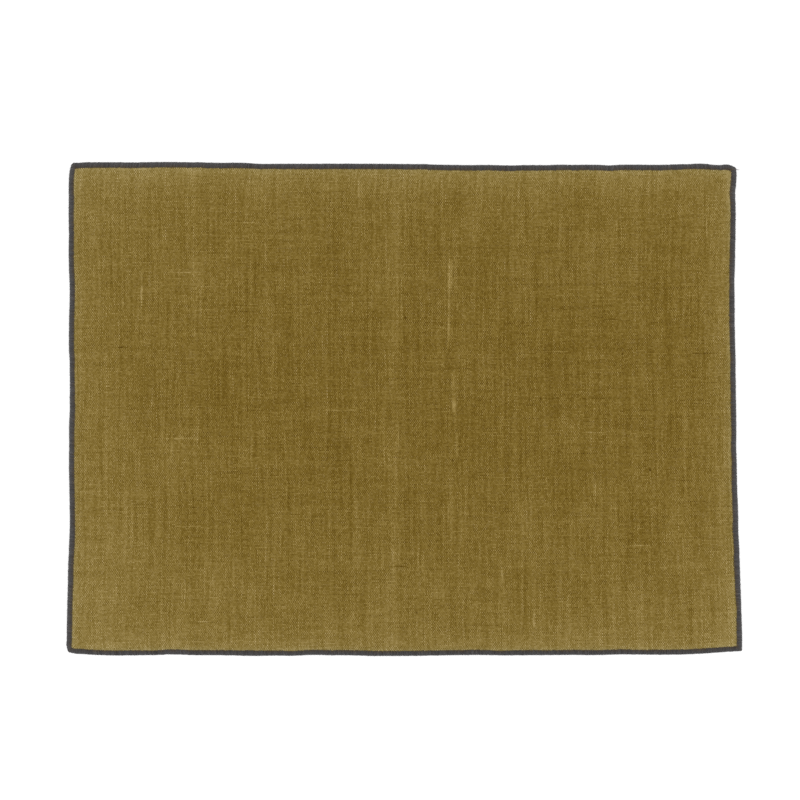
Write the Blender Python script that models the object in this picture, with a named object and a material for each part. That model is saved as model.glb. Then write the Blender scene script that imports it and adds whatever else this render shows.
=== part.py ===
"""A linen placemat: one flat panel of plain-woven cloth, with a run of thick overlock thread round
each of its four raw edges.

Lengths are in metres and +Z is up. The origin is on the table under the middle of the mat. +X runs
along the long side and +Y towards the back edge, so from above the back edge is the top one.

Every point of the mat is given by two shares: across, from 0 at the left edge to 1 at the right
one, and along, from 0 at the front edge to 1 at the back one. The corners aren't quite square and
the edges waver, as cloth does under an overlocker. A soft crease across the middle is left from
folding the mat in half.
"""

from collections import namedtuple

import bmesh
import bpy
import numpy as np

MM = 0.001

# Driving sizes
MAT_LENGTH = 483.2 * MM
MAT_WIDTH = 353.6 * MM
CLOTH_THICKNESS = 1.0 * MM
GAP = 0.3 * MM  # between one piece and the next
CUT_EDGE_GAP = 0.4 * MM  # between the cloth's raw edge and the thread's wall, which waver

# The thread edging is a C in section: a wall outside the cloth's raw edge, and a lip over and
# under it.
LIP_REACH = {"back": 3.6 * MM, "front": 3.4 * MM, "left": 3.5 * MM, "right": 3.6 * MM}
EDGING_WALL = 0.6 * MM
LIP_THICKNESS = 0.45 * MM
CUT_EDGE_INSET = EDGING_WALL + CUT_EDGE_GAP  # from the outline to the cloth's raw edge

SLOT_HALF_HEIGHT = CLOTH_THICKNESS / 2 + GAP
EDGING_HALF_HEIGHT = SLOT_HALF_HEIGHT + LIP_THICKNESS
LIFTED = EDGING_HALF_HEIGHT - CLOTH_THICKNESS / 2  # the cloth's underside where the thread grips it

# How far each corner lies in from the corner of the mat's full length and width.
Corner = namedtuple("Corner", "in_from_side in_from_end")
CORNERS = {
    ("left", "front"): Corner(1.1 * MM, 2.9 * MM),
    ("right", "front"): Corner(0.1 * MM, 3.7 * MM),
    ("left", "back"): Corner(3.4 * MM, 1.6 * MM),
    ("right", "back"): Corner(4.4 * MM, 4.3 * MM),
}

# How far each edge stands out past the straight line between its corners, in millimetres. Places
# are shares of the edge, from the left on the front and back and from the front on the sides.
Waver = namedtuple("Waver", "place out_mm")
WAVERS = {
    "front": (
        Waver(0.000, 0.0),
        Waver(0.006, 1.0),
        Waver(0.040, 2.0),
        Waver(0.075, 2.4),
        Waver(0.145, 1.7),
        Waver(0.290, 2.9),
        Waver(0.360, 2.3),
        Waver(0.500, 3.2),
        Waver(0.610, 2.6),
        Waver(0.650, 2.8),
        Waver(0.820, 2.3),
        Waver(0.895, 2.6),
        Waver(0.930, 2.2),
        Waver(0.966, 1.0),
        Waver(1.000, 0.0),
    ),
    "back": (
        Waver(0.000, 0.0),
        Waver(0.035, 1.3),
        Waver(0.105, 1.3),
        Waver(0.145, 1.9),
        Waver(0.215, 1.4),
        Waver(0.250, 1.7),
        Waver(0.290, 0.6),
        Waver(0.330, 1.1),
        Waver(0.500, 1.4),
        Waver(0.580, 0.9),
        Waver(0.720, 0.9),
        Waver(0.760, 1.5),
        Waver(0.900, 2.0),
        Waver(0.940, 2.7),
        Waver(0.971, 1.2),
        Waver(0.985, 1.8),
        Waver(1.000, 0.0),
    ),
    "left": (
        Waver(0.000, 0.0),
        Waver(0.008, 0.6),
        Waver(0.036, 1.2),
        Waver(0.110, 0.8),
        Waver(0.185, 0.2),
        Waver(0.260, -0.5),
        Waver(0.330, -0.2),
        Waver(0.410, 0.5),
        Waver(0.480, 0.0),
        Waver(0.590, 0.2),
        Waver(0.650, 1.0),
        Waver(0.735, 0.5),
        Waver(0.810, 1.6),
        Waver(0.930, 1.8),
        Waver(0.967, 1.5),
        Waver(0.995, 0.5),
        Waver(1.000, 0.0),
    ),
    "right": (
        Waver(0.000, 0.0),
        Waver(0.035, 0.2),
        Waver(0.110, -0.3),
        Waver(0.220, -1.1),
        Waver(0.290, -1.6),
        Waver(0.370, -2.2),
        Waver(0.420, -2.4),
        Waver(0.520, -1.9),
        Waver(0.600, -2.2),
        Waver(0.700, -2.2),
        Waver(0.780, -1.9),
        Waver(0.850, -1.0),
        Waver(0.930, -0.7),
        Waver(0.966, -0.1),
        Waver(0.992, 0.3),
        Waver(1.000, 0.0),
    ),
}

# The cloth's underside near the rim: it lies on the table inside, and climbs into the thread.
Rim = namedtuple("Rim", "from_cut_edge height")
RIM = (
    Rim(0.0 * MM, LIFTED),
    Rim(3.2 * MM, LIFTED),
    Rim(5.5 * MM, 0.55 * LIFTED),
    Rim(8.5 * MM, 0.13 * LIFTED),
    Rim(11.5 * MM, 0.0),
)

# The fold crease: where it crosses the front and back edges, its height on the way, and its
# section, soft on both flanks.
CREASE_AT = {"front": 0.4834, "back": 0.4952}
Ridge = namedtuple("Ridge", "along height")
CREASE_RIDGE = (
    Ridge(0.00, 0.0),
    Ridge(0.04, 0.0),
    Ridge(0.09, 0.60 * MM),
    Ridge(0.20, 0.80 * MM),
    Ridge(0.36, 0.40 * MM),
    Ridge(0.58, 0.85 * MM),
    Ridge(0.74, 0.65 * MM),
    Ridge(0.90, 0.35 * MM),
    Ridge(0.96, 0.0),
    Ridge(1.00, 0.0),
)
Flank = namedtuple("Flank", "from_crease share_of_height")
CREASE_SECTION = (
    Flank(-6.0 * MM, 0.0),
    Flank(-3.0 * MM, 0.4),
    Flank(0.0, 1.0),
    Flank(3.0 * MM, 0.4),
    Flank(6.0 * MM, 0.0),
)

# The upper half of the thread's rounded section: shares of the lip's reach in from the outline, and
# heights over the middle of the cloth. The lower half mirrors it.
Crown = namedtuple("Crown", "in_share height")
CROWN = (
    Crown(0.00, 0.32 * EDGING_HALF_HEIGHT),
    Crown(0.05, 0.72 * EDGING_HALF_HEIGHT),
    Crown(0.20, 0.94 * EDGING_HALF_HEIGHT),
    Crown(0.45, 1.00 * EDGING_HALF_HEIGHT),
    Crown(0.75, 0.98 * EDGING_HALF_HEIGHT),
    Crown(1.00, 0.90 * EDGING_HALF_HEIGHT),
)

# Grid steps between a rim and the crease, and from the front rim to the back one.
FIELD_STEPS = {"across": 12, "along": 18}

LINEN_OLIVE = (0.211, 0.140, 0.030)
THREAD_CHARCOAL = (0.072, 0.068, 0.067)


def curve_through(rows, places):
    """Heights, at the given places, of a smooth curve through (place, height) rows."""
    at, value = np.array(rows, float).T
    slope = np.gradient(value, at)
    left = np.clip(np.searchsorted(at, places, side="right") - 1, 0, len(at) - 2)
    span = at[left + 1] - at[left]
    t = (places - at[left]) / span
    return (
        (1 + 2 * t) * (1 - t) ** 2 * value[left]
        + t * (1 - t) ** 2 * span * slope[left]
        + t**2 * (3 - 2 * t) * value[left + 1]
        - t**2 * (1 - t) * span * slope[left + 1]
    )


def between(start, end, share):
    return start + (end - start) * share


def corner(side, end, inset):
    """A corner of the mat, drawn in by inset from both of its edges."""
    row = CORNERS[side, end]
    x = MAT_LENGTH / 2 - row.in_from_side - inset
    y = MAT_WIDTH / 2 - row.in_from_end - inset
    return (-x if side == "left" else x), (-y if end == "front" else y)


def point_on_mat(across, along, inset=0.0):
    """Where two shares lie on the table, in a mat whose outline is drawn in by inset."""
    (x_fl, y_fl), (x_fr, y_fr) = corner("left", "front", inset), corner("right", "front", inset)
    (x_bl, y_bl), (x_br, y_br) = corner("left", "back", inset), corner("right", "back", inset)
    out = {
        edge: curve_through(rows, across if edge in ("front", "back") else along) * MM
        for edge, rows in WAVERS.items()
    }
    x = between(between(x_fl, x_fr, across), between(x_bl, x_br, across), along)
    y = between(between(y_fl, y_fr, across), between(y_bl, y_br, across), along)
    x = x + between(-out["left"], out["right"], across)
    y = y + between(-out["front"], out["back"], along)
    return x, y


def stations_across(crease_at):
    """Shares of the mat's length for its grid columns: close in the rims and at the crease."""
    rim = np.array([row.from_cut_edge for row in RIM]) / MAT_LENGTH
    crease = crease_at + np.array([row.from_crease for row in CREASE_SECTION]) / MAT_LENGTH
    steps = FIELD_STEPS["across"] + 1
    left_field = np.linspace(rim[-1], crease[0], steps)[1:-1]
    right_field = np.linspace(crease[-1], 1 - rim[-1], steps)[1:-1]
    return np.concatenate([rim, left_field, crease, right_field, 1 - rim[::-1]])


def stations_along():
    """Shares of the mat's width for its grid rows."""
    rim = np.array([row.from_cut_edge for row in RIM]) / MAT_WIDTH
    field = np.linspace(rim[-1], 1 - rim[-1], FIELD_STEPS["along"] + 1)[1:-1]
    return np.concatenate([rim, field, 1 - rim[::-1]])


def underside(across, along):
    """How high the cloth's underside lies over the table."""
    to_side = np.minimum(across, 1 - across) * MAT_LENGTH
    to_end = np.minimum(along, 1 - along) * MAT_WIDTH
    rim = np.interp(np.minimum(to_side, to_end), *np.array(RIM).T)
    from_crease = (across - between(CREASE_AT["front"], CREASE_AT["back"], along)) * MAT_LENGTH
    ridge = np.interp(along, *np.array(CREASE_RIDGE).T)
    return rim + ridge * np.interp(from_crease, *np.array(CREASE_SECTION).T)


def make_material(name, colour, roughness):
    material = bpy.data.materials.new(name)
    material.use_nodes = True
    surface = material.node_tree.nodes["Principled BSDF"]
    surface.inputs["Base Color"].default_value = (*colour, 1)
    surface.inputs["Metallic"].default_value = 0
    surface.inputs["Roughness"].default_value = roughness
    return material


def make_object(name, mesh_maker, material, parent):
    """An object from a bmesh, shaded smooth, under the mat's empty."""
    mesh = bpy.data.meshes.new(name)
    mesh_maker.to_mesh(mesh)
    mesh_maker.free()
    mesh.materials.append(material)
    mesh.shade_smooth()
    mesh.set_sharp_from_angle(angle=np.radians(50))
    made = bpy.data.objects.new(name, mesh)
    bpy.context.scene.collection.objects.link(made)
    made.parent = parent
    return made


def make_cloth(material, parent):
    """The panel: a grid on the cloth's underside, thickened upwards."""
    along = stations_along()[:, None]
    across = between(
        stations_across(CREASE_AT["front"]), stations_across(CREASE_AT["back"]), along
    )
    x, y = point_on_mat(across, np.broadcast_to(along, across.shape), CUT_EDGE_INSET)
    z = underside(across, along)
    grid = bmesh.new()
    rows = [
        [grid.verts.new(place) for place in zip(x[row], y[row], z[row])] for row in range(len(x))
    ]
    for front, back in zip(rows, rows[1:]):
        for column in range(len(front) - 1):
            grid.faces.new(
                (front[column], front[column + 1], back[column + 1], back[column])
            )
    panel = make_object("cloth_panel", grid, material, parent)
    thicken = panel.modifiers.new("cloth thickness", "SOLIDIFY")
    thicken.thickness = CLOTH_THICKNESS
    thicken.offset = 1
    thicken.use_even_offset = True
    return panel


def thread_section(reach):
    """The closed C of the edging as (inset from the outline, height) points, from its outer foot
    over the crown, in along the slot and back under the cloth."""
    upper = [(row.in_share * reach, row.height) for row in CROWN]
    slot = [(reach, SLOT_HALF_HEIGHT), (EDGING_WALL, SLOT_HALF_HEIGHT)]
    half = upper + slot
    whole = half + [(inset, -height) for inset, height in reversed(half)]
    return [(inset, height + EDGING_HALF_HEIGHT) for inset, height in whole]


def make_edging(edge, material, parent):
    """One run of thread: its section carried along an edge, mitred at both corners."""
    if edge in ("front", "back"):
        stations = stations_across(CREASE_AT[edge])
        length = MAT_LENGTH
    else:
        stations = stations_along()
        length = MAT_WIDTH
    end_gap = GAP / np.sqrt(2) / length  # half the gap on each side of a mitre at 45 degrees
    stations = end_gap + stations * (1 - 2 * end_gap)
    fixed = np.full(len(stations), 1.0 if edge in ("back", "right") else 0.0)
    across, along = (stations, fixed) if edge in ("front", "back") else (fixed, stations)

    run = bmesh.new()
    lines = []
    for inset, height in thread_section(LIP_REACH[edge]):
        x, y = point_on_mat(across, along, inset)
        lines.append([run.verts.new((*place, height)) for place in zip(x, y)])
    for line, following in zip(lines, lines[1:] + lines[:1]):
        for station in range(len(line) - 1):
            run.faces.new(
                (line[station], line[station + 1], following[station + 1], following[station])
            )
    for station in (0, -1):
        run.faces.new([line[station] for line in lines])
    bmesh.ops.recalc_face_normals(run, faces=run.faces)
    return make_object(f"edging_{edge}", run, material, parent)


def main():
    for leftover in list(bpy.data.objects):
        bpy.data.objects.remove(leftover)
    mat = bpy.data.objects.new("placemat", None)
    bpy.context.scene.collection.objects.link(mat)
    make_cloth(make_material("olive linen", LINEN_OLIVE, 0.9), mat)
    thread = make_material("charcoal thread", THREAD_CHARCOAL, 0.75)
    for edge in WAVERS:
        make_edging(edge, thread, mat)


main()
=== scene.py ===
"""A linen placemat seen from straight above: plain-woven olive cloth, its raw edges overlocked with
charcoal thread.

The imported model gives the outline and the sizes. The cloth and the four runs of thread stand for
its solids. Lengths are in metres where nothing else is said, and tones are sRGB steps out of 255. A
place on the mat is (u, v): how far it is from the left edge and from the front edge, measured along
the cloth.
"""

from collections import namedtuple

import bpy
import numpy as np
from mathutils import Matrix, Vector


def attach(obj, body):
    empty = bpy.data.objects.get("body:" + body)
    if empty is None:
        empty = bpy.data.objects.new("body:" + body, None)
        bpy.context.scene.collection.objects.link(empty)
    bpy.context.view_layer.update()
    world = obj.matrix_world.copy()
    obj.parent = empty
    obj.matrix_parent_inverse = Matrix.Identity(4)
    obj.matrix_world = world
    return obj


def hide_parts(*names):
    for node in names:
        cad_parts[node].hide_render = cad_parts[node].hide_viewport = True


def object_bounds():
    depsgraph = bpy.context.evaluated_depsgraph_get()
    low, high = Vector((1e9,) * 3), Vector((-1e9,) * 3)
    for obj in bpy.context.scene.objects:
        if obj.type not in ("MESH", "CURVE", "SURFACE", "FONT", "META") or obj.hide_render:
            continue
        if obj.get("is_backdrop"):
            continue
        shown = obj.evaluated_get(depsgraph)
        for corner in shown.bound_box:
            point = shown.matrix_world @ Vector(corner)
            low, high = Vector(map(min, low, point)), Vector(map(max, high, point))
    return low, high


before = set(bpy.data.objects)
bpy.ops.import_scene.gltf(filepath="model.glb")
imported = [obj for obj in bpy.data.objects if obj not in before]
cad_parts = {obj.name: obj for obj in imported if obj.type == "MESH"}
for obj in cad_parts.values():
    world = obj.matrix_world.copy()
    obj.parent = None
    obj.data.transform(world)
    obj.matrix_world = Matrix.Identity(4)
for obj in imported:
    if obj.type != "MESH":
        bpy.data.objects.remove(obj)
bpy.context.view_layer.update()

MM = 0.001
ENDS = ("front", "back")
SIDES = ("left", "right")
EDGES = (*ENDS, *SIDES)
UP = np.array([0, 0, 1.0])
random = np.random.default_rng(41)

# The cloth
WARP_PITCH = 0.745 * MM  # the warp runs front to back
WEFT_PITCH = 1.04 * MM
YARN_DRIFT = 0.25 * MM  # over centimetres, in the mesh's map
YARN_WOBBLE = 0.09 * MM  # over millimetres, in the material
CLOTH_THICKNESS = 0.8 * MM
CUT_EDGE_INSET = 1.0 * MM
SWELL_HEIGHT = 0.14 * MM
PUCKER_HEIGHT = 0.13 * MM
PUCKER_REACH = 11 * MM
GRIP = 2.6 * MM  # the thread holds the cloth flat so far in from its cut edge
SLACK_AFTER = 6 * MM  # and so much further in, it is free to swell

# The cloth's grid of points: the step in the open field, how far in from the outline the close rows
# by the edge lie, and how far from the crease the close columns lie
GRID_STEP = 2.15 * MM
RIM_ROWS = np.array([1.0, 2.0, 3.0, 3.8, 4.6, 5.6, 6.8, 8.2, 9.8, 11.6]) * MM
FOLD_COLUMNS = np.linspace(-6, 6, 11) * MM

# The map for baking gives the upper side most of the square
MapArea = namedtuple("MapArea", "corner extent")
UPPER_AREA = MapArea((0.006, 0.006), (0.988, 0.73))
UNDER_AREA = MapArea((0.006, 0.75), (0.988, 0.244))
RIM_ON_MAP = 0.003

# The edging
REACH = {"back": 3.95 * MM, "front": 3.65 * MM, "left": 3.75 * MM, "right": 3.9 * MM}
OUT_OF_LINE = 0.08 * MM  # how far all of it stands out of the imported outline
EDGING_HALF_HEIGHT = 1.25 * MM
STITCH_PITCH = 1.07 * MM
THREAD_RADIUS = 0.28 * MM
NEEDLE_RADIUS = 0.15 * MM
NEEDLE_INSET = 0.45 * MM  # from the legs' inner ends
RUN_END = 0.6 * MM  # from the corner
CORE_STEP = 2 * MM
LEG_SLANT = 0.12 * MM
STITCHES_TO_CORNER = 4  # which the needle leaves out
CORNER_RADIUS = 0.7 * MM
END_ROOM, SIDE_ROOM = 0.9 * MM, 1.3 * MM  # how far past a corner's diagonal a leg may reach

# How high over the cloth's middle the middle of a thread rises, and the core's surface
CROWN = EDGING_HALF_HEIGHT - THREAD_RADIUS
CORE_CROWN = CROWN - 0.06 * MM

# The cloth's underside by the distance from its cut edge
LIFTED = EDGING_HALF_HEIGHT - CLOTH_THICKNESS / 2
Rim = namedtuple("Rim", "from_cut_edge height")
RIM = (
    Rim(-1.0 * MM, LIFTED),
    Rim(3.2 * MM, LIFTED),
    Rim(5.5 * MM, 0.55 * LIFTED),
    Rim(8.5 * MM, 0.13 * LIFTED),
    Rim(11.5 * MM, 0.0),
    Rim(20.0 * MM, 0.0),
)
RIM_END = 19 * MM  # flat from here on

# The fold crease: its place on the front and back edges, as a share of the mat's length, and the
# height of its ridge, from front to back
CREASE_AT = {"front": 0.4834, "back": 0.4952}
CREASE_HALF_WIDTH = 3.1 * MM
Ridge = namedtuple("Ridge", "along height")
CREASE_RIDGE = (
    Ridge(0.00, 0.0),
    Ridge(0.04, 0.0),
    Ridge(0.09, 0.60 * MM),
    Ridge(0.20, 0.80 * MM),
    Ridge(0.36, 0.40 * MM),
    Ridge(0.58, 0.85 * MM),
    Ridge(0.74, 0.65 * MM),
    Ridge(0.90, 0.35 * MM),
    Ridge(0.96, 0.0),
    Ridge(1.00, 0.0),
)

# Where a run of edging bulges out of line or is wider than usual, by the distance from the middle
# of the run, all in millimetres
Uneven = namedtuple("Uneven", "at half_width outward wider", defaults=[0.0])
UNEVEN = {
    "back": (
        Uneven(-241, 3.5, 0.6),
        Uneven(-233, 8, 0.5, 0.2),
        Uneven(-190, 10, 0.3, 0.1),
        Uneven(-146, 9, 0.25),
        Uneven(-97, 12, 0.33, -0.3),
        Uneven(-48, 26, -0.2, -0.1),
        Uneven(14, 6, 0.2, -0.1),
        Uneven(62, 11, 0.38),
        Uneven(92, 13, 0.5),
        Uneven(113, 7, 0.35),
        Uneven(149, 7, -0.45, -0.1),
        Uneven(168, 8, 0.2, -0.1),
        Uneven(207, 5, -0.3, -0.35),
        Uneven(221, 7, 0.8),
        Uneven(229, 4, 0.25, -0.5),
        Uneven(237, 4, 0.75),
        Uneven(239, 3.5, 0.0, 0.6),
    ),
    "front": (
        Uneven(-232, 8, -0.5),
        Uneven(-205, 12, 0.2, -0.2),
        Uneven(-180, 9, 0.4, -0.3),
        Uneven(-151, 12, 0.52, -0.1),
        Uneven(-110, 8, 0.1, 0.35),
        Uneven(-80, 9, 0.38, -0.2),
        Uneven(-52, 9, 0.3),
        Uneven(-25, 11, 0.3, 0.1),
        Uneven(70, 8, 0.15, -0.35),
        Uneven(105, 8, 0.05, -0.2),
        Uneven(135, 15, 0.45),
        Uneven(170, 6, 0.0, -0.4),
    ),
    "left": (
        Uneven(-172, 3, 0.5),
        Uneven(-118, 12, 0.28, 0.1),
        Uneven(-97, 9, 0.2, 0.25),
        Uneven(-60, 14, 0.3),
        Uneven(-12, 9, 0.42, 0.25),
        Uneven(8, 8, 0.28),
        Uneven(24, 8, 0.25, -0.3),
        Uneven(43, 8, 0.42),
        Uneven(70, 11, 0.3),
        Uneven(98, 7, 0.25),
        Uneven(127, 9, -0.38, -0.15),
        Uneven(166, 9, 0.4, -0.1),
    ),
    "right": (
        Uneven(-147, 6, 0.0, -0.5),
        Uneven(-115, 8, 0.0, 0.35),
        Uneven(-89, 6, -0.15, 0.2),
        Uneven(-70, 6, 0.1, 0.2),
        Uneven(-40, 10, 0.25, -0.2),
        Uneven(-18, 8, 0.18, -0.4),
        Uneven(12, 5, -0.18, -0.3),
        Uneven(38, 9, 0.25, -0.1),
        Uneven(92, 6, -0.1, -0.3),
        Uneven(143, 8, 0.28, -0.2),
        Uneven(158, 5, -0.3, 0.1),
    ),
}

# How much paler the cloth is by each edge, over a strip and over a broad band, and all round beside
# the edging. Widths and reaches are in millimetres.
EdgePaling = namedtuple("EdgePaling", "strip strip_width band band_width")
EDGE_PALING = {
    "left": EdgePaling(2.2, 14, 7.5, 75),
    "right": EdgePaling(8.5, 18, 1.0, 60),
    "front": EdgePaling(4.0, 18, 8.0, 90),
    "back": EdgePaling(9.2, 17, 5.5, 75),
}
Beside = namedtuple("Beside", "amount reach")
PALER_BESIDE = Beside(7.0, 6), Beside(4.0, 1.5)
RUBBED_BESIDE = Beside(0.7, 1.5)  # the share of the colour that the thread has rubbed off
EDGING_WIDTH_MM = 3.5
FULLY_PALE = 60  # how much paler the cloth is without any of its own colour

# The fold has a painted highlight, further to its left than to its right, and its ridge more so
FOLD_HIGHLIGHT_TONE = 6.0
FOLD_HIGHLIGHT_MIDDLE = -1 * MM  # from the crease
FOLD_HIGHLIGHT_LEFT = 9.5 * MM
FOLD_HIGHLIGHT_RIGHT = 4.5 * MM
RIDGE_HIGHLIGHT_TONE = 2.5  # of a ridge as high as HIGHLIGHT_RIDGE_HEIGHT
HIGHLIGHT_RIDGE_HEIGHT = 0.8 * MM

# Single yarns and bands of yarns that are lighter or darker from end to end: where they are and
# how wide, in millimetres from the middle of the mat, and their tone at each end
Band = namedtuple("Band", "at half_width start end")
WARP_BANDS = (
    Band(-212, 4.5, 3.0, 0.5),
    Band(-206, 2.5, -1.5, 0.0),
    Band(-202, 3, 3.0, 2.8),
    Band(-190, 3.5, 0.5, 2.5),
    Band(-183, 3, -1.0, -2.0),
    Band(-179, 3, 1.5, 1.0),
    Band(-166, 4, 1.5, 0.0),
    Band(-157, 3, 1.5, -0.5),
    Band(-149, 5, -1.0, 2.0),
    Band(-140, 2.5, -1.0, -1.5),
    Band(-136, 3, 2.2, 0.6),
    Band(-130, 3, -1.2, -2.0),
    Band(-110, 3, 3.4, 2.3),
    Band(-100, 3, 1.2, 2.8),
    Band(-90, 4, 1.0, 0.8),
    Band(-76, 3, 2.7, 0.0),
    Band(-47, 5, -1.4, -2.2),
    Band(-33, 2.5, 1.3, 3.0),
    Band(-25, 3, -1.0, -1.6),
    Band(6, 5, -1.2, -1.0),
    Band(15, 2.4, 0.8, 1.5),
    Band(20, 2.5, -1.2, -1.0),
    Band(57, 3.5, -2.2, 0.0),
    Band(70, 3, 1.6, 1.0),
    Band(75, 2.5, -1.2, -1.6),
    Band(83, 3, 1.6, 1.8),
    Band(92, 2.5, 1.6, 0.0),
    Band(103, 3, 1.6, 1.6),
    Band(108, 2.4, -1.6, -1.0),
    Band(112, 2.4, 2.0, 1.6),
    Band(122, 2.5, 1.0, -2.4),
    Band(137, 2.5, 2.8, 1.0),
    Band(145, 2.4, -1.4, -1.6),
    Band(151, 4, 3.4, 2.5),
    Band(163, 3, -1.6, -1.0),
    Band(169, 3, 2.0, 1.0),
    Band(178, 3, -0.5, 1.6),
    Band(186, 3.5, 1.2, 1.6),
    Band(194, 3, -1.2, -2.6),
    Band(201, 3, 1.2, -0.8),
)
WEFT_BANDS = (
    Band(-151, 3, -0.6, 0.0),
    Band(-119, 3, -1.0, -1.4),
    Band(-114, 3, 1.2, 1.5),
    Band(-101, 4, 1.2, 0.0),
    Band(-95, 3, -0.6, -1.5),
    Band(-66, 3, -1.5, -0.4),
    Band(-61, 2.5, 1.8, 0.0),
    Band(-54, 3, 0.0, 1.1),
    Band(-41, 2.5, 2.6, 1.4),
    Band(-33, 3, 1.2, 1.4),
    Band(-5, 2.5, 1.2, 0.0),
    Band(6, 4, -1.6, -1.0),
    Band(27, 3, 0.4, 1.8),
    Band(32, 2.5, -1.2, -1.2),
    Band(38, 2.5, 2.0, 1.2),
    Band(45, 3, -1.0, -1.4),
    Band(56, 5, 1.2, 1.2),
    Band(69, 3, 0.8, 1.2),
    Band(96, 3, 1.4, 0.0),
    Band(106, 4, 0.0, 0.3),
    Band(115, 3, -1.4, -1.4),
    Band(124, 3, 0.8, 1.0),
    Band(128, 2.2, -1.0, -1.0),
    Band(141, 3, 1.0, 0.4),
)

# The dye's mean, its clouds, and its lighter and darker places, in millimetres from the middle of
# the mat
DYE_MEAN = -5.4
DYE_CLOUDS = 1.2  # lighter or darker
Patch = namedtuple("Patch", "x y half_width half_length tone")
PATCHES = (
    Patch(-49, -39, 16, 22, -3.5),
    Patch(12, 45, 12, 20, -3.0),
    Patch(183, 83, 14, 22, -3.5),
    Patch(87, 47, 12, 20, -3.0),
    Patch(117, 11, 12, 18, -3.0),
    Patch(165, -93, 14, 20, -3.0),
    Patch(-185, 8, 14, 18, -3.5),
    Patch(-132, 8, 14, 18, -3.0),
    Patch(112, -51, 14, 18, -2.5),
    Patch(-150, 90, 16, 28, 3.5),
    Patch(-137, -129, 14, 24, 4.0),
    Patch(-46, -93, 14, 20, 3.0),
    Patch(37, -75, 10, 20, 3.5),
    Patch(83, -78, 12, 18, 3.0),
    Patch(144, -68, 12, 20, 3.5),
    Patch(-214, -114, 12, 30, 3.0),
    Patch(158, 154, 14, 16, 3.0),
    Patch(151, 118, 12, 16, 3.0),
    Patch(-168, -30, 8, 24, 4.0),
    Patch(-212, -70, 18, 80, 2.0),
    Patch(-205, 90, 30, 60, -1.5),
    Patch(205, -90, 18, 80, 2.0),
    Patch(-228, 166, 20, 18, -5.0),
    Patch(-228, -166, 20, 18, -5.0),
    Patch(228, 166, 20, 18, -5.0),
)

# Thick, bright or dark stretches of yarn, in millimetres from the middle of the mat. Start and end
# are places along the yarn, and lean is how far it drifts sideways between them.
Slub = namedtuple("Slub", "at start end tone width lean", defaults=[0.8, 0.0])
WARP_SLUBS = (
    Slub(32.6, 112, 82, 20, 3.4, -0.3),
    Slub(31.9, 108, 84, 12, 1.2),
    Slub(31.9, 90, 40, 25, 1.4, -0.6),
    Slub(34.7, 28, 10, 14, 2.4, 0.3),
    Slub(35.2, 14, -5, 25, 2.5, 0.5),
    Slub(36.6, -3, -15, 9, 2.2, 0.4),
    Slub(37.4, -15, -36, 20, 1.6, 0.2),
    Slub(31.3, -66, -85, 20),
    Slub(29.2, -29, -36, 16),
    Slub(-2.3, 83, 64, 19, 0.9),
    Slub(-4.3, -9, -31, 16),
    Slub(-7.0, -80, -94, 18),
    Slub(-8.2, -102, -123, 15),
    Slub(20.0, 71, 58, 15),
    Slub(38.3, 80, 69, 15),
    Slub(-188.0, 101, 89, 8, 1.2),
    Slub(-187.9, 89, 73, 26, 1.5),
    Slub(-201.6, 80, 70, 15, 1.1),
    Slub(-173.7, 58, 33, 13, 1.2),
    Slub(-173.9, 33, -25, 9),
    Slub(-162.5, 29, -16, 11, 0.9, -3.5),
    Slub(-166.2, -16, -43, 15, 1.6, -1.3),
    Slub(-137.1, -115, -130, 15, 1.2),
    Slub(-157.0, -123, -137, 14, 1.0),
    Slub(-151.0, 111, 90, 13, 0.9),
    Slub(-99.5, 120, 98, 16),
    Slub(-33.0, 166, 150, 15, 1.0),
    Slub(69.9, -112, -126, 17, 0.9),
    Slub(92.8, -143, -161, 16, 0.9),
    Slub(136.8, -49, -69, 20),
    Slub(151.0, -66, -76, 16),
    Slub(157.0, 161, 153, 15),
    Slub(216.3, 138, 122, 17),
)
WEFT_SLUBS = (
    Slub(133.5, -118, -104, 23),
    Slub(-1.1, -59, -33, 18),
    Slub(-16.8, 126, 146, 20),
    Slub(-97.8, 157, 177, 23),
    Slub(-152.2, -151, -137, 26),
    Slub(109.2, 20, 57, 12),
    Slub(97.8, -172, -144, 17),
    Slub(41.2, 100, 118, 20),
    Slub(-21.1, -180, -148, 17),
    Slub(-84.2, -165, -145, 17),
    Slub(7.5, 92, 174, -12),
    Slub(64.1, 143, 155, -26),
    Slub(44.0, -208, -195, -21),
    Slub(39.7, 204, 224, -18),
    Slub(-112.8, -11, 2, -26),
)

# Knots of fibre in the cloth, in millimetres from the middle of the mat
Nub = namedtuple("Nub", "x y size tone")
NUBS = (
    Nub(0.8, 65.5, 0.85, -28),
    Nub(-24.3, 82.7, 0.6, -28),
    Nub(-102.3, -49.1, 0.6, -34),
    Nub(-143.9, 77.5, 1.1, -18),
    Nub(-169.7, 149.3, 0.6, -30),
    Nub(175.5, -43.3, 0.8, -48),
    Nub(156.1, 39.7, 0.6, -24),
    Nub(161.9, -89.2, 0.6, -30),
    Nub(159.7, -141.4, 0.6, -30),
    Nub(97.4, 7.4, 0.9, -20),
    Nub(-141.7, -139.3, 0.6, -30),
    Nub(34.4, -36.9, 0.6, -30),
    Nub(8.6, -145.7, 0.9, -24),
)

# How a slub is built
SLUB_STEP_MM = 1.2
SLUB_SIDES = 12
SLUB_RADIUS_MM = 0.8  # where its width is 1
SLUB_DRIFT = 0.15 * MM
SLUB_SUNK = 0.02 * MM  # how far below the cloth's face its middle lies

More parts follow.
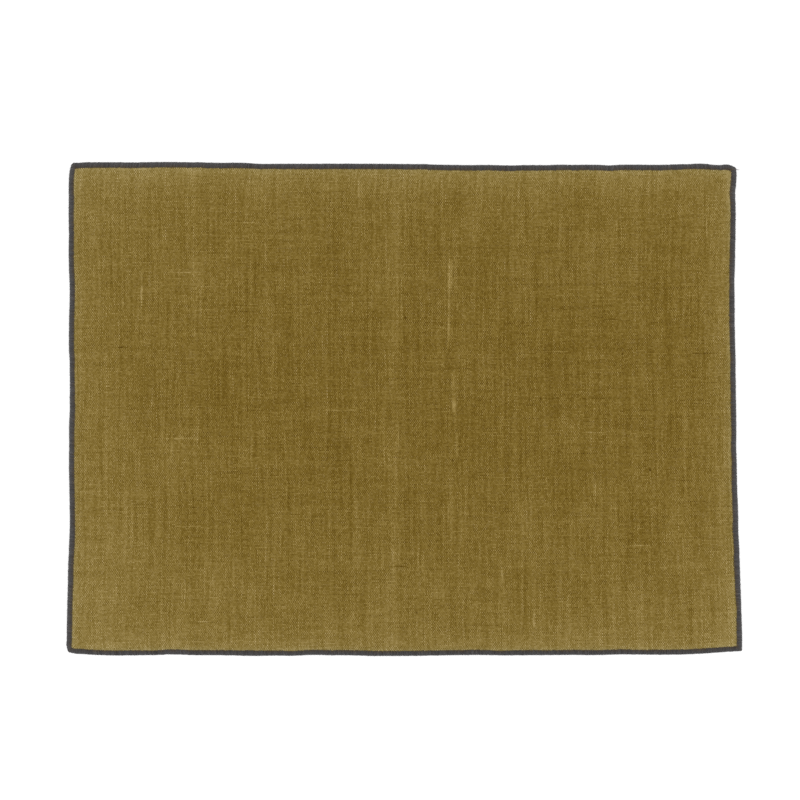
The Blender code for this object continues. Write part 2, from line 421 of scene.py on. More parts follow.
# The middle of a thread on its way from the cloth's face, over the edge and back to its underside:
# shares of the reach in from the outline, and of the height of the crown over the cloth's middle
Way = namedtuple("Way", "in_share height_share")
THREAD_WAY = (
    Way(0.985, 0.26),
    Way(0.990, 0.58),
    Way(0.900, 0.84),
    Way(0.720, 0.96),
    Way(0.480, 1.00),
    Way(0.260, 0.93),
    Way(0.090, 0.70),
    Way(0.045, 0.25),
    Way(0.055, -0.35),
    Way(0.160, -0.80),
    Way(0.400, -1.00),
    Way(0.700, -0.96),
    Way(0.920, -0.80),
    Way(0.985, -0.30),
)

# The core's section in the same way, with a slot that is a little wider than the cloth
SLOT = (CLOTH_THICKNESS / 2 + 0.05 * MM) / CORE_CROWN
CORE_SECTION = (
    Way(0.05, 0.25),
    Way(0.09, 0.66),
    Way(0.25, 0.93),
    Way(0.48, 1.00),
    Way(0.72, 0.96),
    Way(0.86, 0.88),
    Way(0.86, SLOT),
    Way(0.30, SLOT),
    Way(0.30, -SLOT),
    Way(0.86, -SLOT),
    Way(0.86, -0.88),
    Way(0.72, -0.96),
    Way(0.40, -1.00),
    Way(0.12, -0.75),
)

# A stitch of the needle's thread: shares of the pitch, heights over the legs, shares of its radius
Dip = namedtuple("Dip", "place height width")
NEEDLE_WAY = (
    Dip(-0.50, -0.30 * MM, 0.6),
    Dip(-0.36, 0.08 * MM, 1.0),
    Dip(0.00, 0.22 * MM, 1.0),
    Dip(0.36, 0.08 * MM, 1.0),
    Dip(0.50, -0.30 * MM, 0.6),
)

# The stitches round a corner: the way each leaves the outline, in degrees, and where its inner end
# lies, in millimetres from the outlines of the side and of the end
Corner = namedtuple("Corner", "angle from_side from_end")
CORNER_WAY = (
    Corner(0, 2.1, 2.5),
    Corner(22, 2.0, 2.2),
    Corner(45, 2.1, 2.1),
    Corner(68, 2.2, 2.0),
    Corner(90, 2.5, 2.1),
)

# The thread's loose end, in millimetres
Tail = namedtuple("Tail", "x y z radius")
TAIL = (
    Tail(235.6, 171.5, 1.2, 0.16),
    Tail(236.8, 171.6, 1.3, 0.16),
    Tail(237.8, 171.4, 1.2, 0.14),
    Tail(238.7, 171.2, 1.0, 0.13),
    Tail(239.5, 171.2, 0.8, 0.11),
    Tail(240.2, 171.4, 0.6, 0.08),
)

# Colours, as sRGB values out of 255, and how far a tone takes them to each side
LINEN = (122.3, 99.5, 37.0)
PALE_LINEN = (122.5, 105.0, 48.5)
LINEN_SPREAD = (1.0, 1.02, 1.22)
THREAD = (76, 74, 74)
# painted light and shade of each run: the runs on the sides lighter, those at the front and back
# darker, as the lamps at the sides light them
THREAD_LIGHT_BY_EDGE = {"back": -1.5, "front": -4, "left": 1, "right": 1}
LINT = (92, 74, 48)
TONE_RANGE = 80
TONE_STOPS = 9
BUMP_HEIGHT = 0.05 * MM
PLY_TURNS = 900.0  # to a metre
PLY_MEAN = 0.64  # over a turn

# The table and the lamps
TABLE_SIZE = 8.0
TABLE_GAP = 0.1 * MM
LAMP_DISTANCE = 1.5


# ---- curves, noise and the mat's shape


def bell(offset, half_width):
    """1 in the middle, falling smoothly to 0 on both sides."""
    return np.exp(-((offset / half_width) ** 2))


def blend(share, first, second):
    """first where share is 0, second where it is 1."""
    return (1 - share) * first + share * second


def curve_through(at, value, places):
    """Heights of a smooth curve through the given points, which runs straight on past its ends."""
    slope = np.gradient(value, at)
    left = np.clip(np.searchsorted(at, places, side="right") - 1, 0, len(at) - 2)
    span = at[left + 1] - at[left]
    t = np.clip((places - at[left]) / span, 0, 1)
    past = places - np.clip(places, at[0], at[-1])
    return (
        (1 + 2 * t) * (1 - t) ** 2 * value[left]
        + t * (1 - t) ** 2 * span * slope[left]
        + t**2 * (3 - 2 * t) * value[left + 1]
        - t**2 * (1 - t) * span * slope[left + 1]
        + past * np.where(past < 0, slope[0], slope[-1])
    )


def waves(shortest, longest, count=24):
    """A smooth random function of places on the mat, of about -1 to 1."""
    length = np.exp(random.uniform(np.log(shortest), np.log(longest), count))
    heading = random.uniform(0, np.pi, count)
    phase = random.uniform(0, 2 * np.pi, count)

    def wave(u, v=0.0):
        total = 0.0
        for size, way, start in zip(length, heading, phase):
            total = total + np.cos(
                2 * np.pi * (u * np.cos(way) + v * np.sin(way)) / size + start
            )
        return total * np.sqrt(1 / count)

    return wave


def jitter(size, shape):
    """Random numbers around 0, mostly smaller than the size."""
    return size * random.normal(size=shape)


def axis_along(edge):
    """The axis that an edge of the mat runs along: 0 for x, 1 for y."""
    return 0 if edge in ENDS else 1


def edge_points(edge):
    """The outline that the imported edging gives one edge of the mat, from left or from front."""
    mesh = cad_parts[f"edging_{edge}"].data
    points = np.array([vertex.co for vertex in mesh.vertices])
    # at half its height, a run of edging has points on its outline only
    middle = (points[:, 2].min() + points[:, 2].max()) / 2
    outline = points[np.abs(points[:, 2] - middle) < 0.4 * EDGING_HALF_HEIGHT, :2]
    _, first = np.unique(np.round(outline[:, axis_along(edge)], 5), return_index=True)
    return outline[first]


class Mat:
    """The mat's outline, and where a place on the cloth lies on the table."""

    def __init__(self):
        found = {edge: edge_points(edge) for edge in EDGES}
        extreme = {"left": 0, "right": -1, "front": 0, "back": -1}
        self.corners = {
            (side, end): np.array([found[side][extreme[end]][0], found[end][extreme[side]][1]])
            for side in SIDES
            for end in ENDS
        }
        self.lines = {}
        for edge, points in found.items():
            if edge in ENDS:
                start, stop = self.corners["left", edge], self.corners["right", edge]
            else:
                start, stop = self.corners[edge, "front"], self.corners[edge, "back"]
            way, inner = axis_along(edge), points[1:-1]
            shares = (inner[:, way] - start[way]) / (stop[way] - start[way])
            shares = np.concatenate([[0], shares, [1]])
            self.lines[edge] = shares, np.vstack([start, inner, stop])
        low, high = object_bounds()
        self.length, self.width = high.x - low.x, high.y - low.y

    def edge(self, edge, share):
        """Points (x, y) of one edge, at shares of the way along it."""
        shares, points = self.lines[edge]
        return np.stack([curve_through(shares, points[:, axis], share) for axis in (0, 1)], -1)

    def point(self, u, v):
        """Where (u, v) lies, as (x, y): the edges' shapes blended across the mat."""
        u, v = np.broadcast_arrays(u, v)
        across, along = u / self.length, v / self.width
        ends = blend(along[..., None], self.edge("front", across), self.edge("back", across))
        sides = blend(across[..., None], self.edge("left", along), self.edge("right", along))
        front, back = (
            blend(across[..., None], self.corners["left", end], self.corners["right", end])
            for end in ENDS
        )
        return ends + sides - blend(along[..., None], front, back)

    def raised(self, u, v, z):
        """Where (u, v) lies at a height over the table, as (x, y, z)."""
        flat = self.point(u, v)
        return np.concatenate([flat, np.broadcast_to(z, flat.shape[:-1])[..., None]], -1)

    def place(self, x, y):
        """The (u, v) of a place given in metres from the middle of the mat."""
        u, v = x + self.length / 2, y + self.width / 2
        for _ in range(4):  # each try lands closer
            tried = self.point(u, v)
            u, v = u + x - tried[..., 0], v + y - tried[..., 1]
        return u, v


mat = Mat()

# The cloth's swells over the table, its puckers, the drift of its yarns and the clouds in its dye
broad = waves(60 * MM, 150 * MM)
pucker = waves(9 * MM, 17 * MM)
drift = waves(14 * MM, 60 * MM), waves(14 * MM, 60 * MM)
dye = waves(25 * MM, 90 * MM, 40)


def from_edges(u, v):
    """The distance to each edge of the mat."""
    return {"left": u, "right": mat.length - u, "front": v, "back": mat.width - v}


def from_edge(u, v):
    """The distance to the nearest edge of the mat."""
    left, right, front, back = from_edges(u, v).values()
    return np.minimum(np.minimum(left, right), np.minimum(front, back))


def past_edging(distance):
    """How far in from the edging a place is, in millimetres, by its distance to the outline."""
    return distance / MM - EDGING_WIDTH_MM


def beside_edging(u, v, effect):
    """An effect of the edging on the cloth, which dies away inwards."""
    return effect.amount * np.exp(-past_edging(from_edge(u, v)) / effect.reach)


def from_crease(u, v):
    """How far to the right of the fold crease a place is."""
    return u - mat.length * blend(v / mat.width, CREASE_AT["front"], CREASE_AT["back"])


def crease(u, v):
    """The height of the fold crease."""
    along, height = np.array(CREASE_RIDGE).T
    return curve_through(along, height, v / mat.width) * bell(from_crease(u, v), CREASE_HALF_WIDTH)


def underside(u, v):
    """How high the cloth's underside lies over the table."""
    at, height = np.array(RIM).T
    inside = from_edge(u, v) - CUT_EDGE_INSET
    lift = curve_through(at, height, np.minimum(inside, RIM_END))
    slack = np.clip((inside - GRIP) / SLACK_AFTER, 0, 1)
    swell = SWELL_HEIGHT * (1 + broad(u, v)).clip(0) * slack
    ripple = PUCKER_HEIGHT * pucker(u, v) * slack * np.exp(-inside / PUCKER_REACH)
    return np.maximum(lift + crease(u, v) + swell + ripple, 0.0)


def yarn_map(u, v):
    """(u, v) as the yarns run, which drift a little from straight."""
    return np.stack([u + YARN_DRIFT * drift[0](u, v), v + YARN_DRIFT * drift[1](u, v)], -1)


def edge_paling_at(u, v):
    """How much paler the cloth is towards its edges."""
    paler = sum(beside_edging(u, v, effect) for effect in PALER_BESIDE)
    for edge, distance in from_edges(u, v).items():
        paling, inside = EDGE_PALING[edge], past_edging(distance)
        paler = paler + paling.strip * bell(inside, paling.strip_width)
        paler = paler + paling.band * bell(inside, paling.band_width)
    return paler


def cloth_tone_at(u, v):
    """The cloth's tone against its base colour, with the fold's painted highlight in it, and how
    far it is turned to the paler colour, from 0 to 1.
    """
    x, y = (u - mat.length / 2) / MM, (v - mat.width / 2) / MM
    paler = edge_paling_at(u, v)
    tone = DYE_CLOUDS * dye(u * 1.6, v * 0.8) + DYE_MEAN + paler
    for patch in PATCHES:
        near = bell(x - patch.x, patch.half_width) * bell(y - patch.y, patch.half_length)
        tone = tone + patch.tone * near
    for bands, place, share in ((WARP_BANDS, x, v / mat.width), (WEFT_BANDS, y, u / mat.length)):
        # a band's tone turns from its first to its second over the middle half
        turned = np.clip(2 * share - 0.5, 0, 1)
        for band in bands:
            here = band.start + (band.end - band.start) * turned
            tone = tone + here * bell(place - band.at, band.half_width)
    # the fold's painted highlight: wider to its left, and stronger the higher its ridge
    off = from_crease(u, v) - FOLD_HIGHLIGHT_MIDDLE
    highlight_share = bell(off, np.where(off > 0, FOLD_HIGHLIGHT_RIGHT, FOLD_HIGHLIGHT_LEFT))
    tone = tone + FOLD_HIGHLIGHT_TONE * highlight_share + RIDGE_HIGHLIGHT_TONE * crease(u, v) / HIGHLIGHT_RIDGE_HEIGHT
    rubbed = beside_edging(u, v, RUBBED_BESIDE)
    return {"tone": tone, "paled": np.clip(paler / FULLY_PALE + rubbed, 0, 1)}


# ---- meshes


def make_piece(name, points, faces, material, marks=(), **maps):
    """An object from arrays. Marks are named values for each point, and maps are UV maps with a
    place for each point or for each face corner."""
    mesh = bpy.data.meshes.new(name)
    mesh.from_pydata(np.asarray(points).tolist(), [], list(faces))
    for mark, value in dict(marks).items():
        layer = mesh.attributes.new(mark, "FLOAT", "POINT")
        layer.data.foreach_set("value", np.ravel(value).astype(np.float32))
    corners = np.zeros(len(mesh.loops), np.int32)
    mesh.loops.foreach_get("vertex_index", corners)
    for uv_map, uv in maps.items():
        per_corner = uv if len(uv) == len(corners) else uv[corners]
        layer = mesh.uv_layers.new(name=uv_map)
        layer.data.foreach_set("uv", per_corner.astype(np.float32).ravel())
    mesh.materials.append(material)
    mesh.shade_smooth()
    made = bpy.data.objects.new(name, mesh)
    bpy.context.scene.collection.objects.link(made)
    return made


def grid_faces(rows, columns):
    """The faces of a grid of points, which are numbered row by row."""
    first = np.arange(rows - 1)[:, None] * columns + np.arange(columns - 1)
    return np.stack([first, first + 1, first + columns + 1, first + columns], -1).reshape(-1, 4)


def wall_faces(stations, sides):
    """The faces between the rings of a tube, whose points are numbered ring by ring."""
    ring = np.arange(stations - 1)[:, None] * sides
    turn = np.arange(sides)
    after = (turn + 1) % sides
    corners = ring + turn, ring + after, ring + sides + after, ring + sides + turn
    return np.stack(corners, -1).reshape(-1, 4)


def cap_faces(first, stations, sides):
    """The faces that close a tube's two ends."""
    turn = np.arange(sides)
    return [(first + turn[::-1]).tolist(), (first + (stations - 1) * sides + turn).tolist()]


def tubes(paths, radii, reference, marks, sides=6):
    """Points, faces, marks and uvs of closed tubes. paths is tubes x points x 3, radii and each
    mark are tubes x points, and reference is a direction across each tube's bend. A place in the
    uvs says how far along the thread it is, and how far round."""
    count, stations = paths.shape[:2]
    along = np.gradient(paths, axis=1)
    along /= np.linalg.norm(along, axis=-1, keepdims=True)
    side = np.cross(along, reference)
    side /= np.linalg.norm(side, axis=-1, keepdims=True)
    up = np.cross(side, along)
    angle = np.arange(sides) * 2 * np.pi / sides
    ring = side[..., None, :] * np.cos(angle)[:, None] + up[..., None, :] * np.sin(angle)[:, None]
    points = paths[..., None, :] + ring * radii[..., None, None]

    first = np.arange(count)[:, None, None] * stations * sides
    faces = (first + wall_faces(stations, sides)).reshape(-1, 4).tolist()
    for start in first.ravel():
        faces += cap_faces(start, stations, sides)

    # each tube starts somewhere else along the thread
    steps = np.linalg.norm(np.diff(paths, axis=1, prepend=paths[:, :1]), axis=-1)
    run = np.cumsum(steps, axis=1) + random.uniform(0, 0.1, (count, 1))
    shape = (count, stations - 1, sides)
    low, high = (np.broadcast_to(end[..., None], shape) for end in (run[:, :-1], run[:, 1:]))
    around = np.broadcast_to(np.arange(sides) / sides, shape)
    after = around + 1 / sides
    corners = (low, around), (low, after), (high, after), (high, around)
    wall_uv = np.stack([np.stack(corner, -1) for corner in corners], axis=-2).reshape(-1, 2)
    cap_uv = np.zeros((count * 2 * sides, 2))
    marks = {
        name: np.broadcast_to(np.asarray(value)[..., None], (count, stations, sides)).ravel()
        for name, value in marks.items()
    }
    return points.reshape(-1, 3), faces, marks, np.vstack([wall_uv, cap_uv])


def join(*parts):
    """Several (points, faces, marks, uvs) as one."""
    points, faces, marks, uvs = zip(*parts)
    starts = np.cumsum([0] + [len(part) for part in points])
    faces = [
        [start + corner for corner in face] for start, part in zip(starts, faces) for face in part
    ]
    marks = {name: np.concatenate([part[name] for part in marks]) for name in marks[0]}
    return np.vstack(points), faces, marks, np.vstack(uvs)


# ---- materials


def linear(*srgb):
    """A linear colour, for a shader, from sRGB values out of 255."""
    value = np.clip(np.array(srgb, float) / 255, 0, 1)
    return tuple(np.where(value <= 0.04045, value / 12.92, ((value + 0.055) / 1.055) ** 2.4))


class Shade:
    """A Principled material and the node arithmetic that feeds it."""

    def __init__(self, name, **settings):
        self.material = bpy.data.materials.new(name)
        self.material.use_nodes = True
        self.tree = self.material.node_tree
        self.surface = self.tree.nodes["Principled BSDF"]
        for socket, value in settings.items():
            self.surface.inputs[socket.replace("_", " ")].default_value = value

    def node(self, kind, inputs=(), **settings):
        made = self.tree.nodes.new(kind)
        for setting, value in settings.items():
            setattr(made, setting, value)
        for socket, value in dict(inputs).items():
            if isinstance(value, bpy.types.NodeSocket):
                self.tree.links.new(value, made.inputs[socket])
            else:
                made.inputs[socket].default_value = value
        return made

    def math(self, operation, *values):
        return self.node("ShaderNodeMath", enumerate(values), operation=operation).outputs[0]

    def add(self, first, *others):
        for other in others:
            first = self.math("ADD", first, other)
        return first

    def times(self, first, second):
        return self.math("MULTIPLY", first, second)

    def choose(self, share, first, second):
        """first where share is 0, second where it is 1."""
        mixed = self.node("ShaderNodeMix", {"Factor": share, "A": first, "B": second})
        return mixed.outputs["Result"]

    def vector(self, x, y, z=0.0):
        return self.node("ShaderNodeCombineXYZ", {"X": x, "Y": y, "Z": z}).outputs[0]

    def noise(self, x, y, layer, detail=1.0):
        """Smooth noise of about -1 to 1, one step of x or y to a blob, unlike other layers'."""
        made = self.node(
            "ShaderNodeTexNoise",
            {"Vector": self.vector(x, y, layer), "Scale": 1.0, "Detail": detail},
        )
        return self.math("MULTIPLY_ADD", made.outputs["Fac"], 4.0, -2.0)

    def grain(self, x, y, blobs, layer, detail=1.0):
        """Noise with so many blobs to one unit of x and to one of y."""
        return self.noise(self.times(x, blobs[0]), self.times(y, blobs[1]), layer, detail)

    def scatter(self, x, y):
        """A number of -1 to 1 for each whole x and y, unlike its neighbours'."""
        made = self.node("ShaderNodeTexWhiteNoise", {"Vector": self.vector(x, y)})
        return self.math("MULTIPLY_ADD", made.outputs["Value"], 2.0, -1.0)

    def attribute(self, name):
        return self.node("ShaderNodeAttribute", attribute_name=name).outputs["Fac"]

    def yarns(self):
        """The two parts of the map along the yarns."""
        uv = self.node("ShaderNodeUVMap", uv_map="yarns").outputs["UV"]
        parts = self.node("ShaderNodeSeparateXYZ", {"Vector": uv})
        return parts.outputs["X"], parts.outputs["Y"]

    def tone(self, *features):
        """The mesh's own tone, and each feature times how much lighter it makes the colour."""
        return self.add(self.attribute("tone"), *(self.times(*feature) for feature in features))

    def colour(self, tone, base, spread=(1, 1, 1)):
        """The base colour made lighter or darker by tone, times the spread of each channel."""
        share = self.math("MULTIPLY_ADD", tone, 0.5 / TONE_RANGE, 0.5)
        ramp = self.node("ShaderNodeValToRGB", {"Fac": share})
        stops = ramp.color_ramp.elements
        while len(stops) < TONE_STOPS:
            stops.new(0.5)
        for stop, step in zip(stops, np.linspace(-TONE_RANGE, TONE_RANGE, TONE_STOPS)):
            stop.position = 0.5 + step / (2 * TONE_RANGE)
            stop.color = (*linear(*(part + step * way for part, way in zip(base, spread))), 1)
        return ramp.outputs["Color"]

    def mix(self, share, first, second):
        """The colour first where share is 0, second where it is 1."""
        # the node's colour sockets have the same names as its others, so they go by number
        mixed = self.node("ShaderNodeMix", {0: share, 6: first, 7: second}, data_type="RGBA")
        return mixed.outputs[2]

    def paint(self, colour):
        self.tree.links.new(colour, self.surface.inputs["Base Color"])

    def bump(self, height):
        made = self.node("ShaderNodeBump", {"Height": height, "Distance": BUMP_HEIGHT})
        self.tree.links.new(made.outputs["Normal"], self.surface.inputs["Normal"])


def linen_material():
    """Plain weave, drawn yarn by yarn."""
    shade = Shade("olive linen", Roughness=0.88, Specular_IOR_Level=0.15, Sheen_Weight=0.05)
    u, v = shade.yarns()
    u = shade.add(u, shade.times(shade.grain(u, v, (60.0, 240.0), 3.1), YARN_WOBBLE))
    v = shade.add(v, shade.times(shade.grain(u, v, (240.0, 60.0), 7.7), YARN_WOBBLE))
    warp, weft = shade.times(u, 1 / WARP_PITCH), shade.times(v, 1 / WEFT_PITCH)
    warp_number, weft_number = shade.math("FLOOR", warp), shade.math("FLOOR", weft)

    # 1 where a warp yarn floats on top, -1 where a weft yarn does, 0 where they dip
    warp_turn, weft_turn = shade.times(warp, np.pi), shade.times(weft, np.pi)
    warp_wave, weft_wave = shade.math("SINE", warp_turn), shade.math("SINE", weft_turn)
    over = shade.times(warp_wave, weft_wave)
    slant = shade.times(shade.math("COSINE", warp_turn), shade.math("COSINE", weft_turn))
    # 1 in the gaps at the corners of the crossings, where the bump dips and the tone below paints
    # shade
    gap_depth_and_shade = shade.times(slant, slant)
    crown = shade.math("ABSOLUTE", over)
    warp_share = shade.node(
        "ShaderNodeMapRange", {"Value": over, "From Min": -0.5, "From Max": 0.5}
    ).outputs["Result"]

    # each yarn is lighter and darker along its way, and that fades out towards its two sides
    warp_tone = shade.grain(warp_number, v, (3.71, 18.0), 1.3, 4.0)
    weft_tone = shade.grain(u, weft_number, (28.0, 3.71), 5.9, 4.0)
    bright = shade.grain(warp_number, v, (7.93, 34.0), 29.0)
    bright = shade.math("MAXIMUM", shade.math("SUBTRACT", bright, 0.5), 0.0)
    warp_tone = shade.add(warp_tone, shade.times(bright, 2.2))
    warp_tone = shade.times(warp_tone, shade.math("ABSOLUTE", warp_wave))
    weft_tone = shade.times(weft_tone, shade.math("ABSOLUTE", weft_wave))
    own_tone = shade.choose(warp_share, weft_tone, warp_tone)

    # streaks along the warp, bars along the weft, mottles, and single crossings that stand out
    streak = shade.grain(u, v, (400.0, 16.0), 11.0, 2.0)
    bar = shade.grain(u, v, (26.0, 400.0), 13.0, 2.0)
    mottle = shade.grain(u, v, (190.0, 70.0), 17.0, 2.0)
    pick = shade.times(shade.scatter(warp_number, weft_number), crown)

    # fibres lie along the yarn that is on top
    warp_fibre = shade.grain(u, v, (9000.0, 1400.0), 19.0, 2.0)
    weft_fibre = shade.grain(u, v, (1400.0, 9000.0), 23.0, 2.0)
    fibre = shade.choose(warp_share, weft_fibre, warp_fibre)

    # the darkening of the gaps between the yarns is painted shade
    tone = shade.tone(
        (over, 20.0),
        (slant, -6.0),
        (gap_depth_and_shade, -8.0),
        (own_tone, 24.0),
        (streak, 7.0),
        (bar, 2.6),
        (mottle, 2.8),
        (pick, 32.0),
        (fibre, 5.0),
    )
    full_colour, paled = (shade.colour(tone, base, LINEN_SPREAD) for base in (LINEN, PALE_LINEN))
    shade.paint(shade.mix(shade.attribute("paled"), full_colour, paled))
    height = shade.add(crown, shade.times(gap_depth_and_shade, -0.6), shade.times(fibre, 0.12))
    shade.bump(height)
    return shade.material


def thread_material():
    """Two twisted plies of fine filaments, with fibres of the cloth caught between them."""
    shade = Shade("charcoal thread", Roughness=0.7, Specular_IOR_Level=0.25, Sheen_Weight=0.1)
    run, around = shade.yarns()
    turn = shade.add(shade.times(run, PLY_TURNS), around)
    ply = shade.math("ABSOLUTE", shade.math("SINE", shade.times(turn, np.pi * 2)))
    # the plies are lighter along their middles and darker in the grooves between them: painted
    # shade
    from_mean = shade.math("SUBTRACT", ply, PLY_MEAN)
    filament = shade.grain(run, around, (2500.0, 9.0), 4.0, 2.0)
    patchy = shade.noise(shade.times(run, 320.0), 0.5, 9.0)
    tone = shade.tone((from_mean, 14.0), (filament, 5.0), (patchy, 3.0))
    thread, lint = shade.colour(tone, THREAD), shade.colour(tone, LINT)
    shade.paint(shade.mix(shade.attribute("lint"), thread, lint))
    shade.bump(shade.add(ply, shade.times(filament, 0.3)))
    return shade.material


# ---- the cloth


def grid_columns(crease_at):
    """Where the columns of the cloth's grid stand on a row that the crease crosses at a place."""
    left, right = crease_at + FOLD_COLUMNS[0], crease_at + FOLD_COLUMNS[-1]
    steps = int((mat.length / 2 - RIM_ROWS[-1] - FOLD_COLUMNS[-1]) / GRID_STEP)
    return np.concatenate(
        [
            RIM_ROWS,
            np.linspace(RIM_ROWS[-1], left, steps)[1:-1],
            crease_at + FOLD_COLUMNS,
            np.linspace(right, mat.length - RIM_ROWS[-1], steps)[1:-1],
            mat.length - RIM_ROWS[::-1],
        ]
    )


def cloth_grid():
    """The (u, v) of a grid of places on the cloth, closer together by its edges and its crease."""
    far = mat.width - RIM_ROWS[-1]
    field = np.arange(RIM_ROWS[-1], far - GRID_STEP / 2, GRID_STEP)[1:]
    v = np.concatenate([RIM_ROWS, field, mat.width - RIM_ROWS[::-1]])[:, None]
    front, back = (grid_columns(CREASE_AT[end] * mat.length) for end in ENDS)
    return np.broadcast_arrays(blend(v / mat.width, front, back), v)


def make_cloth(material):
    """The panel: a fine grid for its underside, one for its face, and a rim that joins them."""
    u, v = cloth_grid()
    under = mat.raised(u, v, underside(u, v)).reshape(-1, 3)
    points = np.vstack([under, under + UP * CLOTH_THICKNESS])

    # the underside's faces look down, the upper side's look up, and the rim's look outwards
    grid = grid_faces(*u.shape)
    number = np.arange(u.size).reshape(u.shape)
    here = np.concatenate([number[0, :-1], number[:-1, -1], number[-1, :0:-1], number[:0:-1, 0]])
    after = np.roll(here, -1)
    rim = np.stack([here, after, after + u.size, here + u.size], -1)
    faces = np.vstack([grid[:, ::-1], grid + u.size, rim])

    share = np.stack([u.ravel() / mat.length, v.ravel() / mat.width], -1)
    above, below = (area.corner + share * area.extent for area in (UPPER_AREA, UNDER_AREA))
    outwards = RIM_ON_MAP * np.sign(share[rim[:, :2]] - 0.5)
    first, second = above[here], above[after]
    rim_map = np.stack([first + outwards[:, 0], second + outwards[:, 1], second, first], 1)
    bake_map = np.vstack([below[grid[:, ::-1]], above[grid], rim_map]).reshape(-1, 2)

    marks = {name: np.tile(value.ravel(), 2) for name, value in cloth_tone_at(u, v).items()}
    maps = {"yarns": np.tile(yarn_map(u, v).reshape(-1, 2), (2, 1)), "OFBake": bake_map}
    return make_piece("cloth", points, faces.tolist(), material, marks, **maps)


def nub_as_slub(nub):
    """A knot of fibre as a short, thick stretch of a warp yarn."""
    start, end = nub.y - 1.3 * nub.size, nub.y + 1.3 * nub.size
    return Slub(nub.x, start, end, nub.tone, width=1.6 * nub.size, lean=0.2)


def make_slubs(material):
    """Slubs and nubs: low swellings of the cloth, lighter or darker."""
    patchy = waves(3 * MM, 14 * MM)
    along_warp = (*WARP_SLUBS, *map(nub_as_slub, NUBS))
    parts = [swelling(slub, True, patchy) for slub in along_warp]
    parts += [swelling(slub, False, patchy) for slub in WEFT_SLUBS]
    points, faces, own, _ = join(*parts)
    u, v = mat.place(points[:, 0], points[:, 1])
    marks = cloth_tone_at(u, v)
    marks["tone"] = marks["tone"] + own["tone"]
    return make_piece("slubs", points, faces, material, marks, yarns=yarn_map(u, v))


def swelling(slub, is_warp, patchy):
    """A low closed swelling along a yarn, and how much lighter it is, most along its middle."""
    stations = max(9, int(abs(slub.end - slub.start) / SLUB_STEP_MM))
    share = np.linspace(0, 1, stations)
    along = (slub.start + (slub.end - slub.start) * share) * MM
    across = (slub.at + slub.lean * share) * MM
    across = across + SLUB_DRIFT * drift[0](along * 3, slub.at * MM)
    x, y = (across, along) if is_warp else (along, across)
    u, v = mat.place(x, y)
    face = underside(u, v) + CLOTH_THICKNESS - SLUB_SUNK
    swell = np.sin(np.pi * np.linspace(0.03, 0.97, stations)) ** 0.5
    radius = SLUB_RADIUS_MM * slub.width * MM * swell**0.5
    tone = 1.2 * slub.tone * swell * (1 + 0.35 * patchy(x, y))
    path = mat.raised(u, v, face)[None]
    marks = {"tone": tone[None]}
    points, faces, marks, uv = tubes(path, radius[None], UP, marks, SLUB_SIDES)

    # the round tube is pressed flat, and its tone fades out down its sides
    face, radius, swell = (np.repeat(value, SLUB_SIDES) for value in (face, radius, swell))
    rise = (points[:, 2] - face) / radius
    height_mm = 0.08 + 0.06 * slub.width
    points[:, 2] = face + rise * swell * height_mm * MM
    marks["tone"] = marks["tone"] * rise.clip(0) ** 2
    return points, faces, marks, uv


# ---- the edging


def run_length(edge):
    """How long a run of edging is."""
    return mat.length if edge in ENDS else mat.width


def on_run(edge, along, inset):
    """The (u, v) of a place on a run of edging: how far along it, and how far in."""
    if edge == "front":
        return along, inset
    if edge == "back":
        return along, mat.width - inset
    if edge == "left":
        return inset, along
    return mat.length - inset, along


def run_shape(edge, at):
    """How far in a run of edging reaches, and how far it stands out of line, at places along it."""
    outward, wider = OUT_OF_LINE, 0.0
    for place in UNEVEN[edge]:
        near = bell((at - run_length(edge) / 2) / MM - place.at, place.half_width)
        outward = outward + place.outward * MM * near
        wider = wider + place.wider * MM * near
    return REACH[edge] + wider, outward


def leg_places(edge):
    """Where the legs of a run's stitches stand along it, two to a stitch."""
    length = run_length(edge)
    count = int(round((length - 2 * RUN_END) / STITCH_PITCH)) * 2
    start = (length - (count - 1) * STITCH_PITCH / 2) / 2
    return start + np.arange(count) * STITCH_PITCH / 2


